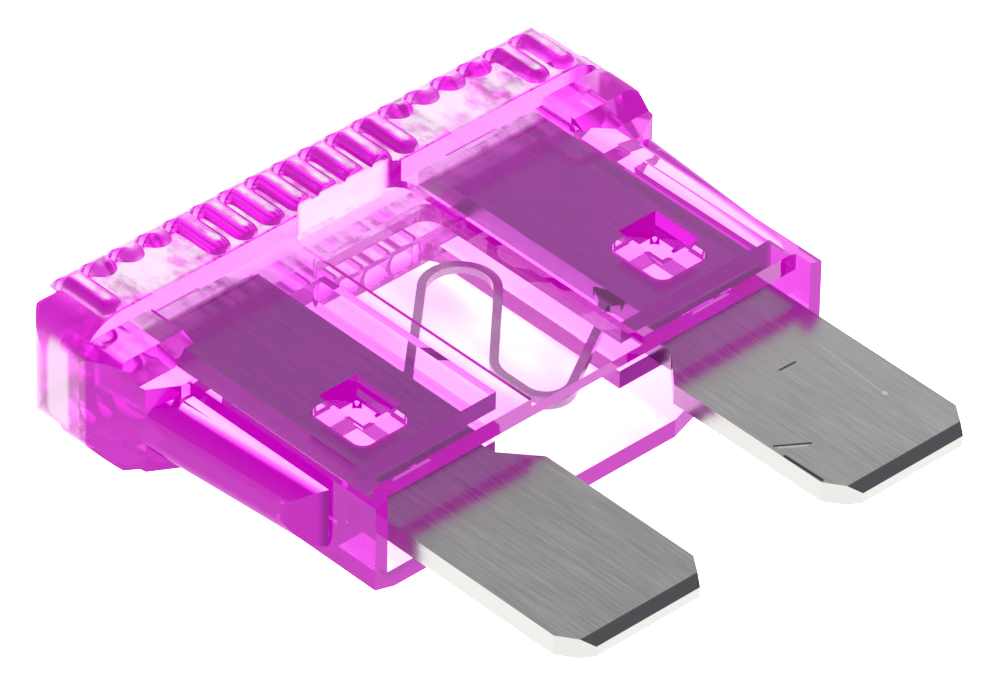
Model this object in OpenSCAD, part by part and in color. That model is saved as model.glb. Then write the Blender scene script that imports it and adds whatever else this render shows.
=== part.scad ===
// Regular size automotive blade fuse, lying on its rear face.
// +X runs across the blades, +Y towards the fluted head, +Z through the thickness.
// The origin is below the middle of the bounding box, on the surface it lies on.

/* [Overall] */
// Length over the head and the blades
overall_l = 19.5; // [18.4:0.1:20.4]
// Distance from the head's outer face to the end of the side walls
housing_l = 12.5; // [11.8:0.1:13]

/* [Head] */
// Width of the head
head_w = 19.6; // [19:0.1:20.5]
// Thickness of the head over its flutes
head_t = 5.1; // [4.7:0.1:5.6]
// Depth of the head, down to its step
head_d = 2.4; // [2:0.1:2.8]
// Radius of the head's long edges at its two ends
head_edge_r = 1.5; // [0.8:0.05:1.8]
// Radius of the head's corners seen from the front
head_corner_r = 1; // [0.5:0.1:1.2]
// Radius at which the flutes turn over to the head's top face
head_top_r = 0.8; // [0.3:0.05:1]
// Radius of the same edge between the flutes
head_base_r = 1; // [0.85:0.05:1.4]
// Number of flutes on each face, as far as the head is wide enough for them
flute_n = 18; // [12:1:19]
// Distance between two flutes
flute_pitch = 0.985; // [0.9:0.005:1.02]
// Least distance from a flute's middle to the head's end
flute_side = 1.4; // [1.2:0.05:1.8]
// Radius of a flute
flute_r = 0.42; // [0.35:0.01:0.45]
// Height of a flute above the surface between the flutes
flute_h = 0.3; // [0.2:0.01:0.33]
// Length of the short flutes beside the smooth panels
flute_short = 1.05; // [0.8:0.05:1.4]

/* [Body] */
// Width of the body over its side walls
body_w = 16.4; // [15.8:0.1:17]
// Thickness of the body
body_t = 3.15; // [3:0.05:3.6]
// Width of the sloped strip along each long edge
edge_w = 0.7; // [0.4:0.05:0.9]
// Drop of the sloped strip
edge_drop = 0.2; // [0.1:0.02:0.3]
// Set-back of the front wall's end behind the side walls
front_setback = 0.57; // [0.3:0.01:0.9]
// Length of the rear wall's tab past the side walls
tab_l = 0.3; // [0.2:0.05:0.6]
// Width of the tab at its end
tab_w = 5; // [3:0.1:5.6]
// Width of the slope on each side of the tab
tab_slope = 1; // [0.5:0.1:1.4]
// Depth of the recess over the link
recess_depth = 0.25; // [0.15:0.01:0.3]
// Width of the recess over the link
recess_w = 4.1; // [3:0.1:4.4]
// Reach of the recess into the head's step
recess_reach = 0.3; // [0.1:0.05:0.6]
// Corner radius of the recess
recess_r = 0.7; // [0.3:0.05:1]

/* [Shoulders and rails] */
// Width over the two side rails at the shoulders
rail_w = 18.7; // [18.2:0.1:19]
// Slant of a rail's outer side towards the open end
rail_slant = 4.4; // [0:0.2:6]
// Thickness of a rail
rail_t = 1.9; // [1.4:0.1:2.2]
// Radius of a rail's long edges
rail_r = 0.75; // [0.4:0.05:0.8]
// Distance from the end of the side walls to the rail's near end
rail_start = 1.85; // [1.5:0.05:3]
// Length of the rail's rounded near end
rail_nose = 1.25; // [0.8:0.05:1.5]
// Length of a shoulder, from its low end to the head
shoulder_l = 2.7; // [2.4:0.1:3]
// Width over the shoulders' low ends
shoulder_w = 17; // [16.8:0.1:17.6]
// Width between the inner sides of the two shoulders
shoulder_gap = 14.4; // [13.6:0.1:15.2]
// Length over which the shoulders widen to the rails
shoulder_flare = 0.5; // [0.3:0.05:0.8]
// Thickness of a shoulder at its low end
shoulder_low_t = 2.8; // [2.4:0.1:3]
// Thickness of a shoulder beside the head
shoulder_t = 3.6; // [3.2:0.1:4]
// Length of the slope between the two
shoulder_slope = 0.7; // [0.4:0.05:1]
// Length of the thick part beside the head
shoulder_high = 1.3; // [1:0.05:1.6]
// Radius of a shoulder's long edges
shoulder_r = 0.6; // [0.3:0.05:0.8]

/* [Cavity] */
// Thickness of the front and rear walls at the open end
wall = 0.6; // [0.45:0.05:0.8]
// Thickness of the side walls at the open end
side_wall = 0.43; // [0.35:0.01:0.6]
// Depth of the open mouth, from the end of the side walls
mouth_d = 1.7; // [1.5:0.1:2]
// Width of the chamber round the link
chamber_w = 4.6; // [4.3:0.1:5]
// Distance from the end of the side walls to the chamber's far end
chamber_d = 9.4; // [8.8:0.1:9.8]
// Radius of the chamber's far corners
chamber_r = 0.6; // [0.3:0.05:1]
// Clearance between the element and its slot, on each side
slot_gap = 0.05; // [0.03:0.01:0.1]
// Width of a test opening in the top face
probe_w = 1.9; // [1.4:0.1:2.4]
// Height of a test opening in the top face
probe_h = 1.1; // [0.8:0.1:1.4]

/* [Stakes] */
// Distance of each stake from the centre line
stake_x = 5.5; // [5.2:0.05:5.7]
// Distance from the end of the side walls to the stake's middle
stake_y = 3.6; // [3.2:0.05:4.4]
// Width of a stake pit at the surface
stake_w = 1.4; // [1.2:0.05:1.6]
// Length of a stake pit at the surface
stake_l = 1.75; // [1.4:0.05:2]
// Amount by which each side of a pit leans in towards its bottom
stake_lean = 0.15; // [0.1:0.01:0.3]
// Plastic left between the two pits of a stake
stake_web = 1.7; // [1.2:0.05:2.2]
// Clearance between the stake and its hole, on each side
stake_gap = 0.04; // [0.02:0.01:0.08]
// Amount by which the stake is wider than its pit, on each side
stake_skin = 0.22; // [0.15:0.01:0.3]
// Corner radius of the stake
stake_r = 0.35; // [0.1:0.05:0.6]

/* [Blades] */
// Width of a blade
blade_w = 5.05; // [4.9:0.05:5.3]
// Thickness of a blade
blade_t = 0.65; // [0.6:0.01:0.8]
// Distance between the middles of the two blades
blade_pitch = 9.75; // [9.5:0.05:9.9]
// Gap between a blade's head end and the bottom of the test opening's face
blade_top_gap = 1.6; // [1.2:0.05:1.9]
// Width cut from the blade's inner edge inside the housing
neck_cut = 0.95; // [0.7:0.05:1.1]
// Length of the slope at the neck
neck_l = 1.1; // [0.8:0.05:1.3]
// Distance from the end of the side walls to the neck's start, outwards
neck_out = 0.35; // [0.1:0.05:0.5]
// Width of the cut at a tip's corner
tip_cut_w = 0.65; // [0.4:0.05:0.9]
// Length of the cut at a tip's corner
tip_cut_l = 0.95; // [0.5:0.05:1.2]
// Length of the coined bevel at the tip
tip_bevel_l = 0.37; // [0.25:0.01:0.6]
// Thickness left at the tip
tip_t = 0.33; // [0.25:0.01:0.5]
// Radius of the notch at the blade's inner head corner
notch_r = 0.75; // [0.5:0.05:0.9]

/* [Link] */
// Width of the link's ribbon
link_w = 0.26; // [0.2:0.01:0.4]
// Thickness of the link's ribbon
link_t = 0.24; // [0.2:0.01:0.4]
// Radius of the loop near the head, at its middle
loop_r = 1.05; // [0.9:0.05:1.2]
// Middle of that loop, from the centre line
loop_x = 1; // [0.8:0.02:1.05]
// Middle of that loop, from the end of the side walls
loop_y = 6.7; // [6.4:0.1:7]
// Radius of the bend that ends the slanting strand
bend_r = 1; // [0.8:0.05:1.1]
// Middle of that bend, from the end of the side walls
bend_y = 3.05; // [2.9:0.05:3.3]
// Radius of the hook near the open end, at its middle
hook_r = 0.75; // [0.6:0.05:0.8]
// Middle of the hook, from the end of the side walls
hook_y = 2.2; // [2:0.05:2.5]
// Distance of the hook's side from the centre line
hook_side = 0.75; // [0.6:0.05:0.9]
// Slant of the strand that leaves the left blade
lead_left = 43; // [38:1:50]
// Slant of the strand that reaches the right blade
lead_right = 31; // [26:1:38]
// Length of the flare where the link joins a blade
flare_l = 0.3; // [0.2:0.05:0.5]

/* [Hidden] */
$fn = 64;
over = 1;
lap = 0.05;
step_y = housing_l - head_d;
head_half = head_w / 2;
body_half = body_w / 2;
rail_half = rail_w / 2;
face_z = body_t / 2;
base_t = head_t - 2 * flute_h;
recess_z = face_z - recess_depth;
mouth_z = face_z - wall;
slot_z = blade_t / 2 + slot_gap;
blade_out = (blade_pitch + blade_w) / 2;
blade_in = (blade_pitch - blade_w) / 2;
neck_in = blade_in + neck_cut;
tip_y = housing_l - overall_l;
blade_top = housing_l - blade_top_gap;
rail_end = step_y - shoulder_l;
flute_first = -(flute_n - 1) / 2 * flute_pitch;

// A smooth panel lies below each of these runs of short flutes, first and last
PANELS = [[1, 3], [12, 15]];
function is_short(i) = len([for (p = PANELS) if (i >= p[0] && i <= p[1]) i]) > 0;
function flute_x(i) = flute_first + i * flute_pitch;

// The slanting strand touches the loop and the bend
bend_x = bend_r - hook_side;
link_d = norm([loop_x - bend_x, loop_y - bend_y]);
mid_angle = atan2(loop_y - bend_y, loop_x - bend_x) - asin((loop_r + bend_r) / link_d);
mid_len = sqrt(pow(link_d, 2) - pow(loop_r + bend_r, 2));

module lay() {
    translate([0, overall_l / 2 - housing_l, head_t / 2]) children();
}

// A box centred on x and z, between two values of y
module slab(w, t, y0, y1) {
    translate([-w / 2, y0, -t / 2]) cube([w, y1 - y0, t]);
}

// Extrudes a shape drawn in x and z along y
module along_y(y0, y1) {
    translate([0, y1, 0]) rotate([90, 0, 0]) linear_extrude(y1 - y0) children();
}

// Extrudes a shape drawn in y and z along x, centred
module along_x(w) {
    translate([-w / 2, 0, 0]) rotate([90, 0, 90]) linear_extrude(w) children();
}

module rounded_rect(w, h, r) {
    square([w - 2 * r, h], center = true);
    square([w, h - 2 * r], center = true);
    for (sx = [-1, 1], sy = [-1, 1])
        translate([sx * (w / 2 - r), sy * (h / 2 - r)]) circle(r);
}

// A half-round ridge with a domed low end
module flute(i, side) {
    low_y = is_short(i) ? housing_l - flute_short : step_y + lap;
    translate([flute_x(i), low_y + flute_r, side * (head_t / 2 - flute_r)]) {
        sphere(flute_r);
        rotate([-90, 0, 0]) cylinder(r = flute_r, h = housing_l - low_y - flute_r);
    }
}

// Seen from the front: square at the step, rounded at the two outer corners
module head_front() {
    translate([-head_half, step_y]) square([head_w, head_d - head_corner_r]);
    translate([0, housing_l - head_corner_r])
        square([head_w - 2 * head_corner_r, 2 * head_corner_r], center = true);
    for (sx = [-1, 1])
        translate([sx * (head_half - head_corner_r), housing_l - head_corner_r])
            circle(head_corner_r);
}

// Seen from the side: rounded towards the top face
module head_side(t, r) {
    translate([step_y, -t / 2]) square([head_d - r, t]);
    translate([step_y, r - t / 2]) square([head_d, t - 2 * r]);
    for (sz = [-1, 1]) translate([housing_l - r, sz * (t / 2 - r)]) circle(r);
}

module head() {
    intersection() {
        union() {
            intersection() {
                along_y(step_y, housing_l) rounded_rect(head_w, base_t, head_edge_r);
                along_x(head_w + 2 * over) head_side(base_t, head_base_r);
            }
            intersection() {
                for (i = [0 : flute_n - 1], side = [-1, 1])
                    if (abs(flute_x(i)) <= head_half - flute_side) flute(i, side);
                along_x(head_w + 2 * over) head_side(head_t, head_top_r);
            }
        }
        translate([0, 0, -head_t / 2 - over])
            linear_extrude(head_t + 2 * over) head_front();
    }
}

module body() {
    along_y(0, step_y + head_top_r) polygon([
        for (s = [-1, 1]) [s * (body_half - edge_w), -face_z],
        [body_half, edge_drop - face_z],
        [body_half, face_z - edge_drop],
        for (s = [1, -1]) [s * (body_half - edge_w), face_z],
        [-body_half, face_z - edge_drop],
        [-body_half, edge_drop - face_z]
    ]);
}

// Seen from the front: the rail's near end is rounded in to the body's side
module rail_front() {
    nose_x = rail_half - (rail_end - rail_start - rail_nose) * tan(rail_slant);
    bulge = nose_x - body_half;
    nose_r = (pow(rail_nose, 2) + pow(bulge, 2)) / (2 * bulge);
    translate([0, rail_start + rail_nose])
        square([rail_half + over, rail_end + over - rail_start - rail_nose]);
    intersection() {
        translate([nose_x - nose_r, rail_start + rail_nose]) circle(nose_r);
        translate([0, rail_start]) square([rail_half, rail_nose + lap]);
    }
}

// A bar with rounded edges, turned by its slant about its end at the shoulder
module rail() {
    intersection() {
        translate([0, 0, -rail_t / 2]) linear_extrude(rail_t) rail_front();
        translate([rail_half, rail_end, 0]) rotate([0, 0, -rail_slant])
            translate([-body_half / 2, 0, 0]) along_y(rail_start - rail_end - over, over)
                rounded_rect(body_half, rail_t, rail_r);
    }
}

module shoulder_front() {
    polygon([
        [shoulder_gap / 2, rail_end], [shoulder_w / 2, rail_end],
        [rail_half, rail_end + shoulder_flare],
        [head_half, step_y], [head_half, step_y + head_top_r],
        [shoulder_gap / 2, step_y + head_top_r]
    ]);
}

// Low at the rail, then a slope up to the thick part beside the head
module shoulder_side() {
    high_y = step_y - shoulder_high;
    for (s = [-1, 1]) scale([1, s]) polygon([
        [rail_end, 0], [rail_end, shoulder_low_t / 2],
        [high_y - shoulder_slope, shoulder_low_t / 2], [high_y, shoulder_t / 2],
        [step_y + head_top_r, shoulder_t / 2], [step_y + head_top_r, 0]
    ]);
}

module shoulder() {
    intersection() {
        translate([0, 0, -head_t / 2]) linear_extrude(head_t) shoulder_front();
        along_x(head_w + over) shoulder_side();
        along_y(rail_end - over, step_y + over) rounded_rect(head_w, shoulder_t, shoulder_r);
    }
}

// The rear wall's tab, with its two corners cut
module tab() {
    translate([0, 0, -face_z]) linear_extrude(wall) polygon([
        [-tab_w / 2, -tab_l], [tab_w / 2, -tab_l],
        [tab_w / 2 + tab_slope, 0], [tab_w / 2 + tab_slope, mouth_d],
        [-tab_w / 2 - tab_slope, mouth_d], [-tab_w / 2 - tab_slope, 0]
    ]);
}

// A shape open towards the end of the body, with two round far corners
module open_front(w, far, r) {
    translate([-w / 2, -over]) square([w, far - r + over]);
    translate([r - w / 2, -over]) square([w - 2 * r, far + over]);
    for (sx = [-1, 1]) translate([sx * (w / 2 - r), far - r]) circle(r);
}

module recess() {
    translate([0, 0, recess_z]) linear_extrude(head_t)
        open_front(recess_w, step_y + recess_reach, recess_r);
}

module cavity() {
    mouth_w = body_w - 2 * side_wall;
    slab(mouth_w, 2 * mouth_z, -over, mouth_d);
    slab(2 * (blade_out + slot_gap), 2 * slot_z, 0, blade_top + slot_gap);
    translate([0, 0, -mouth_z]) linear_extrude(2 * mouth_z)
        open_front(chamber_w, chamber_d, chamber_r);
    for (s = [-1, 1]) translate([s * stake_x, 0, 0])
        slab(probe_w, probe_h, blade_top - over / 2, housing_l + over);
}

// The block that joins the front and rear walls through a blade's hole, or that
// hole, when the clearance is added
module stake_block(gap) {
    translate([0, stake_y, 0]) linear_extrude(2 * slot_z + 0.2, center = true)
        rounded_rect(
            stake_w + 2 * (stake_skin + gap), stake_l + 2 * (stake_skin + gap), stake_r + gap
        );
}

// A trapezoid from a pit's bottom to above the surface, one half width at each
module pit_side(half) {
    top = half + stake_lean * over / (face_z - stake_web / 2);
    polygon([
        [stake_lean - half, stake_web / 2], [half - stake_lean, stake_web / 2],
        [top, face_z + over], [-top, face_z + over]
    ]);
}

module stake_pits() {
    for (side = [0, 1]) mirror([0, 0, side]) intersection() {
        along_y(stake_y - stake_l, stake_y + stake_l) pit_side(stake_w / 2);
        translate([0, stake_y, 0]) along_x(2 * stake_w) pit_side(stake_l / 2);
    }
}

module housing() color([0.86, 0.1, 0.84, 0.55]) lay() {
    difference() {
        union() {
            difference() {
                union() {
                    head();
                    body();
                    for (m = [0, 1]) mirror([m, 0, 0]) {
                        rail();
                        shoulder();
                    }
                }
                cavity();
                recess();
                translate([0, 0, mouth_z])
                    slab(body_w - 2 * side_wall, body_t, -over, front_setback);
            }
            tab();
            for (s = [-1, 1]) translate([s * stake_x, 0, 0]) stake_block(0);
        }
        for (s = [-1, 1]) translate([s * stake_x, 0, 0]) stake_pits();
    }
}

// One blade, drawn on the right, with its narrower neck inside the housing
module blade_outline() {
    polygon([
        [blade_in + tip_cut_w, tip_y], [blade_out - tip_cut_w, tip_y],
        [blade_out, tip_y + tip_cut_l], [blade_out, blade_top],
        [neck_in, blade_top], [neck_in, neck_l - neck_out],
        [blade_in, -neck_out], [blade_in, tip_y + tip_cut_l]
    ]);
}

// Takes the two coined bevels off the tip
module tip_bevel() {
    drop = (blade_t - tip_t) / 2;
    for (side = [0, 1]) mirror([0, 0, side]) along_x(4 * blade_pitch) polygon([
        [tip_y - over, blade_t / 2 - drop * (tip_bevel_l + over) / tip_bevel_l],
        [tip_y + tip_bevel_l, blade_t / 2], [tip_y + tip_bevel_l, blade_t],
        [tip_y - over, blade_t]
    ]);
}

module blade(notched) {
    difference() {
        translate([0, 0, -blade_t / 2]) linear_extrude(blade_t) blade_outline();
        tip_bevel();
        translate([stake_x, 0, 0]) stake_block(stake_gap);
        if (notched)
            translate([neck_in, blade_top, 0])
                cylinder(r = notch_r, h = 2 * blade_t, center = true);
    }
}

// A piece of ribbon bent to an arc, from one angle to another
module link_arc(r, from, to) {
    rotate([0, 0, from]) rotate_extrude(angle = to - from)
        translate([r - link_w / 2, -link_t / 2]) square([link_w, link_t]);
}

// A straight piece of ribbon from the origin, in the direction of an angle.
// It starts a little inside the arc that it leaves.
module link_strand(l, angle) {
    rotate([0, 0, angle]) translate([-lap, -link_w / 2, -link_t / 2])
        cube([l + lap, link_w, link_t]);
}

// Widens the ribbon where it runs into the blade's edge
module link_flare(angle) {
    half = link_w / 2 / sin(angle);
    linear_extrude(link_t, center = true) polygon([
        [-0.1, -half - flare_l], [0, -half - flare_l],
        [flare_l * cos(angle), flare_l * sin(angle) - half],
        [flare_l * cos(angle), flare_l * sin(angle) + half],
        [0, half + flare_l], [-0.1, half + flare_l]
    ]);
}

module link() {
    left_x = loop_x - loop_r * sin(lead_left);
    left_y = loop_y + loop_r * cos(lead_left);
    left_len = (neck_in + left_x) / cos(lead_left);
    hook_x = hook_r - hook_side;
    right_x = hook_x + hook_r * sin(lead_right);
    right_y = hook_y - hook_r * cos(lead_right);
    right_len = (neck_in - right_x) / cos(lead_right);
    translate([left_x, left_y, 0]) link_strand(left_len + 0.1, lead_left + 180);
    translate([loop_x, loop_y, 0]) link_arc(loop_r, mid_angle - 90, lead_left + 90);
    translate([loop_x + loop_r * sin(mid_angle), loop_y - loop_r * cos(mid_angle), 0])
        link_strand(mid_len + lap, mid_angle + 180);
    translate([bend_x, bend_y, 0]) link_arc(bend_r, mid_angle + 90, 180);
    translate([-hook_side, bend_y, 0]) link_strand(bend_y - hook_y + lap, 270);
    translate([hook_x, hook_y, 0]) link_arc(hook_r, 180, lead_right + 270);
    translate([right_x, right_y, 0]) link_strand(right_len + 0.1, lead_right);
    translate([-neck_in, left_y - left_len * sin(lead_left), 0]) link_flare(lead_left);
    translate([neck_in, right_y + right_len * sin(lead_right), 0])
        rotate([0, 0, 180]) link_flare(lead_right);
}

module fuse_element() color([0.68, 0.67, 0.67]) lay() {
    blade(false);
    mirror([1, 0, 0]) blade(true);
    link();
}

housing();
fuse_element();
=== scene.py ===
import math

import bpy
from mathutils import Matrix, Vector

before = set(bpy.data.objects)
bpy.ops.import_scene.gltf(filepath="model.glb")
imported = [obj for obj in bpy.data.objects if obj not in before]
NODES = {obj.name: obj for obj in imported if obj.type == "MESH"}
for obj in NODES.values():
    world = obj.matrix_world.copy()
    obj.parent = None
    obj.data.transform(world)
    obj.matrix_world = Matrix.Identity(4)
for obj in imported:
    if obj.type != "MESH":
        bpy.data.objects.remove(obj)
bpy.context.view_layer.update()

MM = 0.001
# The photo's camera was fitted with the origin at the middle of the body's open end.
SHIFT = Vector((0.0, -2.75, 2.55))


def new_material(name):
    """A node material: its tree, its Principled shader and its output."""
    mat = bpy.data.materials.new(name)
    mat.use_nodes = True
    tree = mat.node_tree
    shader = tree.nodes["Principled BSDF"]
    output = tree.nodes["Material Output"]
    return mat, tree, shader, output


def add(tree, kind, inputs=(), **props):
    """A node with its properties and input values set."""
    node = tree.nodes.new(kind)
    for key, value in props.items():
        setattr(node, key, value)
    for key, value in dict(inputs).items():
        node.inputs[key].default_value = value
    return node


def object_coords(tree, scale):
    """Object coordinates in millimetres, stretched by scale."""
    coords = add(tree, "ShaderNodeTexCoord")
    mapping = add(tree, "ShaderNodeMapping", {"Scale": [v / MM for v in scale]})
    tree.links.new(coords.outputs["Object"], mapping.inputs["Vector"])
    return mapping.outputs["Vector"]


def noise(tree, vector, scale, detail=3.0, rough=0.5):
    """Noise of about 0 to 1, mostly near 0.5."""
    node = add(tree, "ShaderNodeTexNoise", {"Scale": scale, "Detail": detail, "Roughness": rough})
    tree.links.new(vector, node.inputs["Vector"])
    return node.outputs["Fac"]


def remap(tree, value, low, high, to_low, to_high):
    """Carries low to high over to a new range, and holds at its ends."""
    node = add(tree, "ShaderNodeMapRange",
               {"From Min": low, "From Max": high, "To Min": to_low, "To Max": to_high})
    tree.links.new(value, node.inputs["Value"])
    return node.outputs["Result"]


def maths(tree, operation, a, b):
    """A sum on outputs or numbers."""
    node = add(tree, "ShaderNodeMath", operation=operation)
    for socket, value in zip(node.inputs, (a, b)):
        if isinstance(value, (int, float)):
            socket.default_value = value
        else:
            tree.links.new(value, socket)
    return node.outputs["Value"]


def product(tree, a, b):
    return maths(tree, "MULTIPLY", a, b)


def larger(tree, a, b):
    return maths(tree, "MAXIMUM", a, b)


def window(tree, value, low, high, soft):
    """1 between low and high, with soft ends."""
    rise = remap(tree, value, low - soft, low + soft, 0.0, 1.0)
    fall = remap(tree, value, high - soft, high + soft, 1.0, 0.0)
    return product(tree, rise, fall)


def blend(tree, fac, low, high):
    """Mix from one colour to another; low may be an output, high a constant."""
    node = add(tree, "ShaderNodeMix", data_type="RGBA")
    node.inputs["Factor"].default_value = 0.5
    tree.links.new(fac, node.inputs["Factor"])
    if isinstance(low, tuple):
        node.inputs["A"].default_value = low
    else:
        tree.links.new(low, node.inputs["A"])
    node.inputs["B"].default_value = high
    return node.outputs["Result"]


def join(tree, fac, low, high):
    """Mix from one shader to another."""
    node = add(tree, "ShaderNodeMixShader")
    tree.links.new(fac, node.inputs["Fac"])
    tree.links.new(low, node.inputs[1])
    tree.links.new(high, node.inputs[2])
    return node.outputs["Shader"]


# Places on the housing in millimetres: its open end, the inner end of its mouth and
# the low face of its head
OPEN_Y = SHIFT.y
MOUTH_Y = -1.05
STEP_Y = 7.35

# Tints of the plastic's surfaces, from the palest to the deepest. The first two are the plastic's
# own tint and its random streaks. The deeper ones are painted shading over the blades and the
# link, near the open end, on the head's step and end, on round edges, on the open end's face and
# on the rails' flanks.
CLEAR = (1.0, 0.97, 1.0, 1.0)
STREAK = (1.0, 0.88, 1.0, 1.0)
LINK_STREAK_AND_SHADE = (1.0, 0.70, 1.0, 1.0)
OVER_BLADES_SHADE = (0.95, 0.56, 1.0, 1.0)
NEAR_OPEN_END_SHADE = (0.93, 0.40, 0.92, 1.0)
HEAD_STEP_SHADE = (0.96, 0.28, 0.95, 1.0)
HEAD_END_SHADE = (0.86, 0.20, 0.84, 1.0)
ROUND_EDGE_SHADE = (0.84, 0.16, 0.82, 1.0)
OPEN_FACE_SHADE = (0.86, 0.05, 0.84, 1.0)
RAIL_FLANK_SHADE = (0.70, 0.05, 0.68, 1.0)

# Fixed shares of painted light: a deep violet glow in deep places, a pale glow on the head's
# flats and end faces, and a dim painted shade on the inner end of the mouth
GLOW = (0.58, 0.0, 0.54, 1.0)
PALE_GLOW = (0.99, 0.84, 0.98, 1.0)
MOUTH_PAINTED_SHADE = (0.24, 0.02, 0.25, 1.0)
# Light is followed for this many turns, of which a reflection costs some more
MOST_TURNS = 5.5
GLOSSY_TURN = 1.5


def housing_zones(tree):
    """Masks on the housing's surface, each 0 to 1, by place and direction."""
    plain = object_coords(tree, (1, 1, 1))
    split = add(tree, "ShaderNodeSeparateXYZ")
    tree.links.new(plain, split.inputs["Vector"])
    out = maths(tree, "ABSOLUTE", split.outputs["X"], 0.0)
    along, high = split.outputs["Y"], split.outputs["Z"]
    face = add(tree, "ShaderNodeNewGeometry")
    size = add(tree, "ShaderNodeVectorMath", operation="ABSOLUTE")
    tree.links.new(face.outputs["Normal"], size.inputs[0])
    axes = add(tree, "ShaderNodeSeparateXYZ")
    tree.links.new(size.outputs["Vector"], axes.inputs["Vector"])
    across, lengthwise, up = (axes.outputs[k] for k in "XYZ")

    zones = {}
    body = window(tree, along, -4.0, STEP_Y - 0.15, 0.15)
    zones["blades"] = product(tree, body, window(tree, out, 2.4, 7.3, 0.1))
    zones["link"] = product(tree, body, remap(tree, out, 2.1, 2.2, 1.0, 0.0))
    zones["open"] = product(
        tree, body, remap(tree, along, OPEN_Y + 0.05, OPEN_Y + 2.15, 0.6, 0.0))
    straight = larger(tree, up, larger(tree, across, lengthwise))
    zones["edges"] = remap(tree, straight, 0.80, 0.985, 1.0, 0.0)
    zones["step"] = product(
        tree, lengthwise, window(tree, along, STEP_Y - 0.15, STEP_Y + 0.15, 0.05))
    zones["head_end"] = product(tree, remap(tree, out, 9.3, 9.5, 0.0, 1.0),
                                remap(tree, across, 0.3, 0.7, 0.0, 1.0))
    flank = product(tree, remap(tree, out, 8.1, 8.2, 0.0, 1.0),
                    remap(tree, across, 0.12, 0.4, 0.0, 1.0))
    zones["flank"] = product(
        tree, flank, remap(tree, along, STEP_Y - 0.25, STEP_Y - 0.15, 1.0, 0.0))
    zones["open_face"] = product(
        tree, remap(tree, along, OPEN_Y + 0.15, OPEN_Y + 0.25, 1.0, 0.0),
        remap(tree, lengthwise, 0.6, 0.9, 0.0, 1.0))
    zones["head"] = remap(tree, along, STEP_Y - 0.15, STEP_Y + 0.15, 0.0, 1.0)
    zones["rails"] = remap(tree, out, 8.15, 8.3, 0.0, 1.0)
    # Painted light: where the head's flats and the middle of its end faces glow pale
    cloud = remap(tree, noise(tree, object_coords(tree, (1, 0.6, 1)), 1.8, 3.0, 0.6),
                  0.36, 0.58, 0.18, 0.85)
    flats = product(tree, remap(tree, up, 0.93, 0.99, 0.0, 1.0), cloud)
    tip = product(tree, remap(tree, out, 9.5, 9.6, 0.0, 0.75),
                  window(tree, along, 7.8, 8.65, 0.08))
    tip = product(tree, tip, window(tree, high, 1.3, 3.9, 0.12))
    zones["milky"] = product(
        tree, remap(tree, along, STEP_Y + 0.05, STEP_Y + 0.15, 0.0, 1.0),
        larger(tree, flats, tip))
    mouth = product(tree, window(tree, along, MOUTH_Y - 0.25, MOUTH_Y + 0.25, 0.05),
                    window(tree, high, 1.45, 3.65, 0.05))
    zones["mouth"] = product(tree, mouth, remap(tree, lengthwise, 0.6, 0.9, 0.0, 0.8))
    return zones


def emitter(tree, colour):
    node = add(tree, "ShaderNodeEmission", {"Color": colour, "Strength": 1.0})
    return node.outputs["Emission"]


def violet_plastic():
    mat, tree, shader, output = new_material("clear_violet")
    zones = housing_zones(tree)
    flow = noise(tree, object_coords(tree, (0.7, 0.3, 0.7)), 0.9, 1.0, 0.5)
    streaks = remap(tree, flow, 0.42, 0.62, 0.0, 1.0)

    # Painted shading: round edges, thin walls and the other places listed with the tints are
    # painted a deeper violet than the flats, standing in for light that gathers in them.
    tint = blend(tree, streaks, CLEAR, STREAK)
    tint = blend(tree, zones["blades"], tint, OVER_BLADES_SHADE)
    # Painted shade over the link's recess, broken up by the random streaks
    tint = blend(tree, product(tree, zones["link"], streaks), tint, LINK_STREAK_AND_SHADE)
    tint = blend(tree, zones["open"], tint, NEAR_OPEN_END_SHADE)
    tint = blend(tree, zones["edges"], tint, ROUND_EDGE_SHADE)
    tint = blend(tree, zones["step"], tint, HEAD_STEP_SHADE)
    tint = blend(tree, zones["head_end"], tint, HEAD_END_SHADE)
    tint = blend(tree, zones["flank"], tint, RAIL_FLANK_SHADE)
    tint = blend(tree, zones["open_face"], tint, OPEN_FACE_SHADE)
    tree.links.new(tint, shader.inputs["Base Color"])
    shader.inputs["IOR"].default_value = 1.54
    shader.inputs["Transmission Weight"].default_value = 1.0

    rough = maths(tree, "ADD", remap(tree, flow, 0.5, 0.75, 0.0, 0.06),
                  product(tree, zones["head"], 0.12))
    rough = maths(tree, "ADD", rough, product(tree, zones["rails"], 0.06))
    tree.links.new(rough, shader.inputs["Roughness"])
    volume = add(tree, "ShaderNodeVolumeAbsorption",
                 {"Color": (0.964, 0.0, 0.93, 1.0), "Density": 420.0})
    tree.links.new(volume.outputs["Volume"], output.inputs["Volume"])

    # Painted glow on the rails' flanks, the open end's face and the round edges
    glow = emitter(tree, GLOW)
    deep = larger(tree, product(tree, zones["flank"], 0.72),
                  larger(tree, product(tree, zones["open_face"], 0.55),
                         product(tree, zones["edges"], 0.42)))
    # Painted light: the head's flats and end faces glow pale
    plastic = join(tree, zones["milky"], shader.outputs["BSDF"], emitter(tree, PALE_GLOW))
    plastic = join(tree, deep, plastic, glow)
    # Painted shade: the inner end of the mouth glows a dim violet, so it hardly shows against the
    # blades
    plastic = join(tree, zones["mouth"], plastic, emitter(tree, MOUTH_PAINTED_SHADE))
    # Painted glow: light that is caught in the plastic for many turns ends as a deep violet glow,
    # emitted by the surface itself
    path = add(tree, "ShaderNodeLightPath")
    turns = maths(tree, "ADD", path.outputs["Ray Depth"],
                  product(tree, path.outputs["Glossy Depth"], GLOSSY_TURN))
    plastic = join(tree, maths(tree, "GREATER_THAN", turns, MOST_TURNS), plastic, glow)
    tree.links.new(plastic, output.inputs["Surface"])
    # The glow lights nothing else
    mat.cycles.emission_sampling = "NONE"
    return mat


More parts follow.
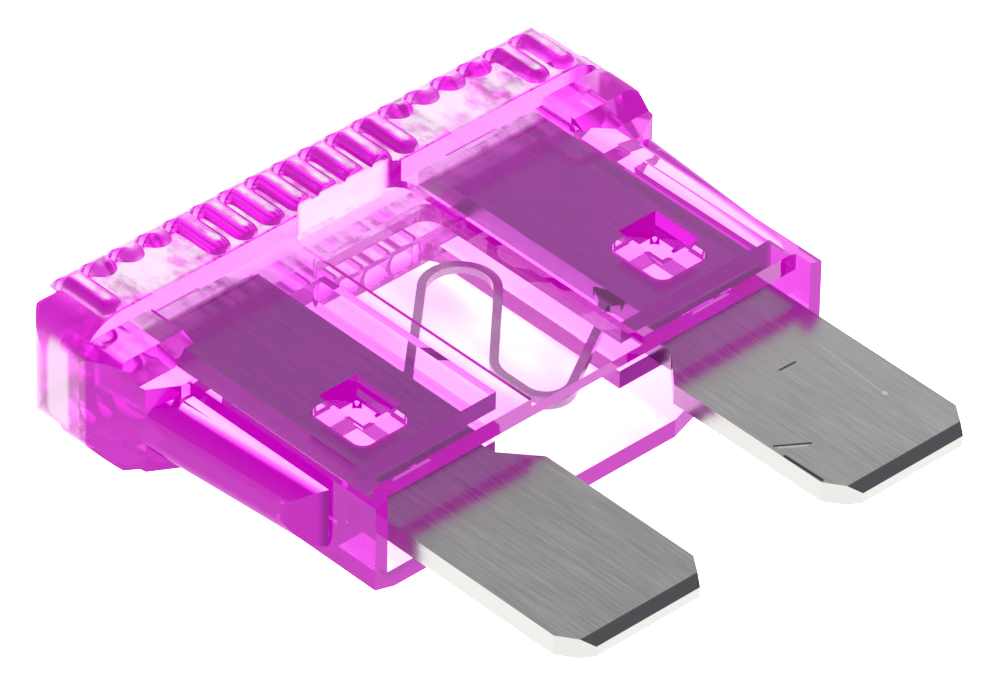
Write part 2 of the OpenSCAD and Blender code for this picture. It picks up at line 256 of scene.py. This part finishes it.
def stroke(tree, place, start, end, width):
    """1 along a line on the blades' faces, 0 away from it. Millimetres."""
    along = Vector(end) - Vector(start)
    links = tree.links
    rel = add(tree, "ShaderNodeVectorMath", operation="SUBTRACT")
    rel.inputs[1].default_value = (*start, 0.0)
    links.new(place, rel.inputs[0])
    dot = add(tree, "ShaderNodeVectorMath", operation="DOT_PRODUCT")
    dot.inputs[1].default_value = (*(along / along.length_squared), 0.0)
    links.new(rel.outputs["Vector"], dot.inputs[0])
    held = add(tree, "ShaderNodeClamp")
    links.new(dot.outputs["Value"], held.inputs["Value"])
    foot = add(tree, "ShaderNodeVectorMath", operation="SCALE")
    foot.inputs[0].default_value = (*along, 0.0)
    links.new(held.outputs["Result"], foot.inputs["Scale"])
    gap = add(tree, "ShaderNodeVectorMath", operation="DISTANCE")
    links.new(rel.outputs["Vector"], gap.inputs[0])
    links.new(foot.outputs["Vector"], gap.inputs[1])
    return remap(tree, gap.outputs["Value"], 0.5 * width, width, 1.0, 0.0)


# Marks on the blades: start, end, width and brightness
MARKS = [
    ((2.50, -6.84), (3.33, -7.40), 0.05, 0.10),
    ((2.55, -6.97), (3.15, -7.40), 0.05, 0.85),
    ((4.93, -4.54), (5.48, -4.56), 0.05, 0.12),
    ((6.49, -4.48), (6.34, -7.10), 0.03, 0.75),
    ((6.34, -7.14), (6.34, -7.17), 0.09, 1.00),
    # The last mark is painted shade along the inner edge of the right blade, drawn like a nick
    ((2.41, -7.35), (2.44, -8.75), 0.07, 0.08),
]

# Zinc: the grain's two greys, the cloud's two shades and the places that differ
GRAIN_DARK = (0.50, 0.49, 0.49, 1.0)
GRAIN_LIGHT = (0.64, 0.63, 0.63, 1.0)
CLOUD_DARK = (0.78, 0.78, 0.78, 1.0)
CLOUD_LIGHT = (1.08, 1.08, 1.07, 1.0)
RIGHT_BLADE = (0.95, 0.95, 0.94, 1.0)
LINK = (0.92, 0.88, 0.92, 1.0)
COINED_TIP = (0.22, 0.21, 0.23, 1.0)
SHEARED_SIDE_AND_SHADE = (0.33, 0.325, 0.315, 1.0)


def satin_zinc():
    mat, tree, shader, output = new_material("zinc")
    shader.inputs["Metallic"].default_value = 1.0
    plain = object_coords(tree, (1, 1, 1))
    spot = add(tree, "ShaderNodeSeparateXYZ")
    tree.links.new(plain, spot.inputs["Vector"])
    flat = add(tree, "ShaderNodeVectorMath", operation="MULTIPLY")
    flat.inputs[1].default_value = (1.0, 1.0, 0.0)
    tree.links.new(plain, flat.inputs[0])
    place = flat.outputs["Vector"]
    grain = noise(tree, object_coords(tree, (1, 0.045, 1)), 13.0, 4.0, 0.6)
    cloud = noise(tree, object_coords(tree, (1, 0.5, 1)), 0.7, 3.0)
    colour = blend(tree, remap(tree, grain, 0.34, 0.66, 0.0, 1.0), GRAIN_DARK, GRAIN_LIGHT)
    shade = add(tree, "ShaderNodeMix", data_type="RGBA", blend_type="MULTIPLY")
    shade.inputs["Factor"].default_value = 1.0
    tree.links.new(colour, shade.inputs["A"])
    tree.links.new(blend(tree, cloud, CLOUD_DARK, CLOUD_LIGHT), shade.inputs["B"])
    # The right blade is a little brighter, and so is the thin link
    colour = blend(tree, remap(tree, spot.outputs["X"], -2.2, 7.0, 0.0, 0.22),
                   shade.outputs["Result"], RIGHT_BLADE)
    out = maths(tree, "ABSOLUTE", spot.outputs["X"], 0.0)
    colour = blend(tree, remap(tree, out, 2.1, 2.3, 0.55, 0.0), colour, LINK)
    for start, end, width, level in MARKS:
        colour = blend(tree, stroke(tree, place, start, end, width), colour,
                       (level, level, level, 1.0))
    # The coined tips are darker than the faces
    colour = blend(tree, remap(tree, spot.outputs["Y"], -9.40, -9.37, 1.0, 0.0), colour,
                   COINED_TIP)
    # The sheared sides are duller than the rolled faces, and they are also painted darker as
    # shade: faces that turn sideways get a darker grey
    face = add(tree, "ShaderNodeNewGeometry")
    up = add(tree, "ShaderNodeSeparateXYZ")
    tree.links.new(face.outputs["True Normal"], up.inputs["Vector"])
    side_shade = remap(tree, maths(tree, "ABSOLUTE", up.outputs["Z"], 0.0), 0.3, 0.6, 1.0, 0.0)
    colour = blend(tree, side_shade, colour, SHEARED_SIDE_AND_SHADE)
    tree.links.new(colour, shader.inputs["Base Color"])
    tree.links.new(remap(tree, grain, 0.3, 0.7, 0.16, 0.27), shader.inputs["Roughness"])
    bump = add(tree, "ShaderNodeBump", {"Strength": 0.35, "Distance": 0.01 * MM})
    tree.links.new(grain, bump.inputs["Height"])
    tree.links.new(bump.outputs["Normal"], shader.inputs["Normal"])
    return mat


def dress(name, mat):
    """Gives a node its material."""
    node = NODES[name]
    node.data.materials.clear()
    node.data.materials.append(mat)


def soften(name, width, angle):
    """Rounds the sharp edges of a node a little."""
    bevel = NODES[name].modifiers.new("edges", "BEVEL")
    bevel.width = width * MM
    bevel.segments = 2
    bevel.limit_method = "ANGLE"
    bevel.angle_limit = math.radians(angle)
    bevel.use_clamp_overlap = True
    bevel.harden_normals = False


# The photo's camera: angles in degrees, distance and offsets in millimetres, and the
# focal length in pixels of a picture 1000 wide
YAW, PITCH, ROLL = -43.46, 37.48, 1.08
DISTANCE = 300.0
ASIDE, ABOVE = -2.72, 2.25
FOCAL_PX = 11162.67
PICTURE_PX = 1000.0
SENSOR_MM = 36.0


def set_camera():
    yaw, pitch, roll = (math.radians(v) for v in (YAW, PITCH, ROLL))
    back = Vector((math.sin(yaw) * math.cos(pitch), -math.cos(yaw) * math.cos(pitch),
                   math.sin(pitch)))
    right = Vector((math.cos(yaw), math.sin(yaw), 0.0))
    up = back.cross(right)
    right, up = (right * math.cos(roll) + up * math.sin(roll),
                 up * math.cos(roll) - right * math.sin(roll))
    place = back * DISTANCE + right * ASIDE + up * ABOVE + SHIFT
    cam = bpy.data.cameras.new("camera")
    cam.sensor_width = SENSOR_MM
    cam.lens = FOCAL_PX / PICTURE_PX * SENSOR_MM
    cam.clip_start = 0.01
    cam.clip_end = 10.0
    obj = bpy.data.objects.new("camera", cam)
    bpy.context.scene.collection.objects.link(obj)
    obj.matrix_world = Matrix.Translation(place * MM) @ Matrix(
        (right, up, back)).transposed().to_4x4()
    bpy.context.scene.camera = obj


def set_stage():
    """A bright white floor under the fuse, like a light table."""
    bpy.ops.mesh.primitive_plane_add(size=1.2, location=(0, 0, 0))
    floor = bpy.context.object
    floor.name = "floor"
    mat, tree, shader, output = new_material("floor")
    light = add(tree, "ShaderNodeEmission", {"Color": (1.0, 1.0, 1.0, 1.0), "Strength": 2.6})
    tree.links.new(light.outputs["Emission"], output.inputs["Surface"])
    floor.data.materials.append(mat)


# Brightness of the world from the horizon (0) to straight above (1)
SKY = [(0.0, 1.0), (0.35, 0.85), (0.6, 0.56), (0.84, 0.34), (1.0, 0.28)]


def set_world():
    """White round the horizon, dim above."""
    world = bpy.data.worlds.new("soft_light")
    bpy.context.scene.world = world
    world.use_nodes = True
    tree = world.node_tree
    background = tree.nodes["Background"]
    coords = add(tree, "ShaderNodeTexCoord")
    split = add(tree, "ShaderNodeSeparateXYZ")
    tree.links.new(coords.outputs["Generated"], split.inputs["Vector"])
    ramp = add(tree, "ShaderNodeValToRGB")
    tree.links.new(split.outputs["Z"], ramp.inputs["Fac"])
    for at, level in SKY[1:-1]:
        ramp.color_ramp.elements.new(at)
    for element, (at, level) in zip(ramp.color_ramp.elements, SKY):
        element.position = at
        element.color = (level, level, level, 1.0)
    tree.links.new(ramp.outputs["Color"], background.inputs["Color"])
    background.inputs["Strength"].default_value = 1.0


bpy.context.scene.view_settings.view_transform = "Standard"
dress("housing", violet_plastic())
dress("fuse_element", satin_zinc())
for node_name, bevel_mm, least_angle in (("fuse_element", 0.04, 40), ("housing", 0.08, 62)):
    soften(node_name, bevel_mm, least_angle)
set_stage()
set_world()
set_camera()
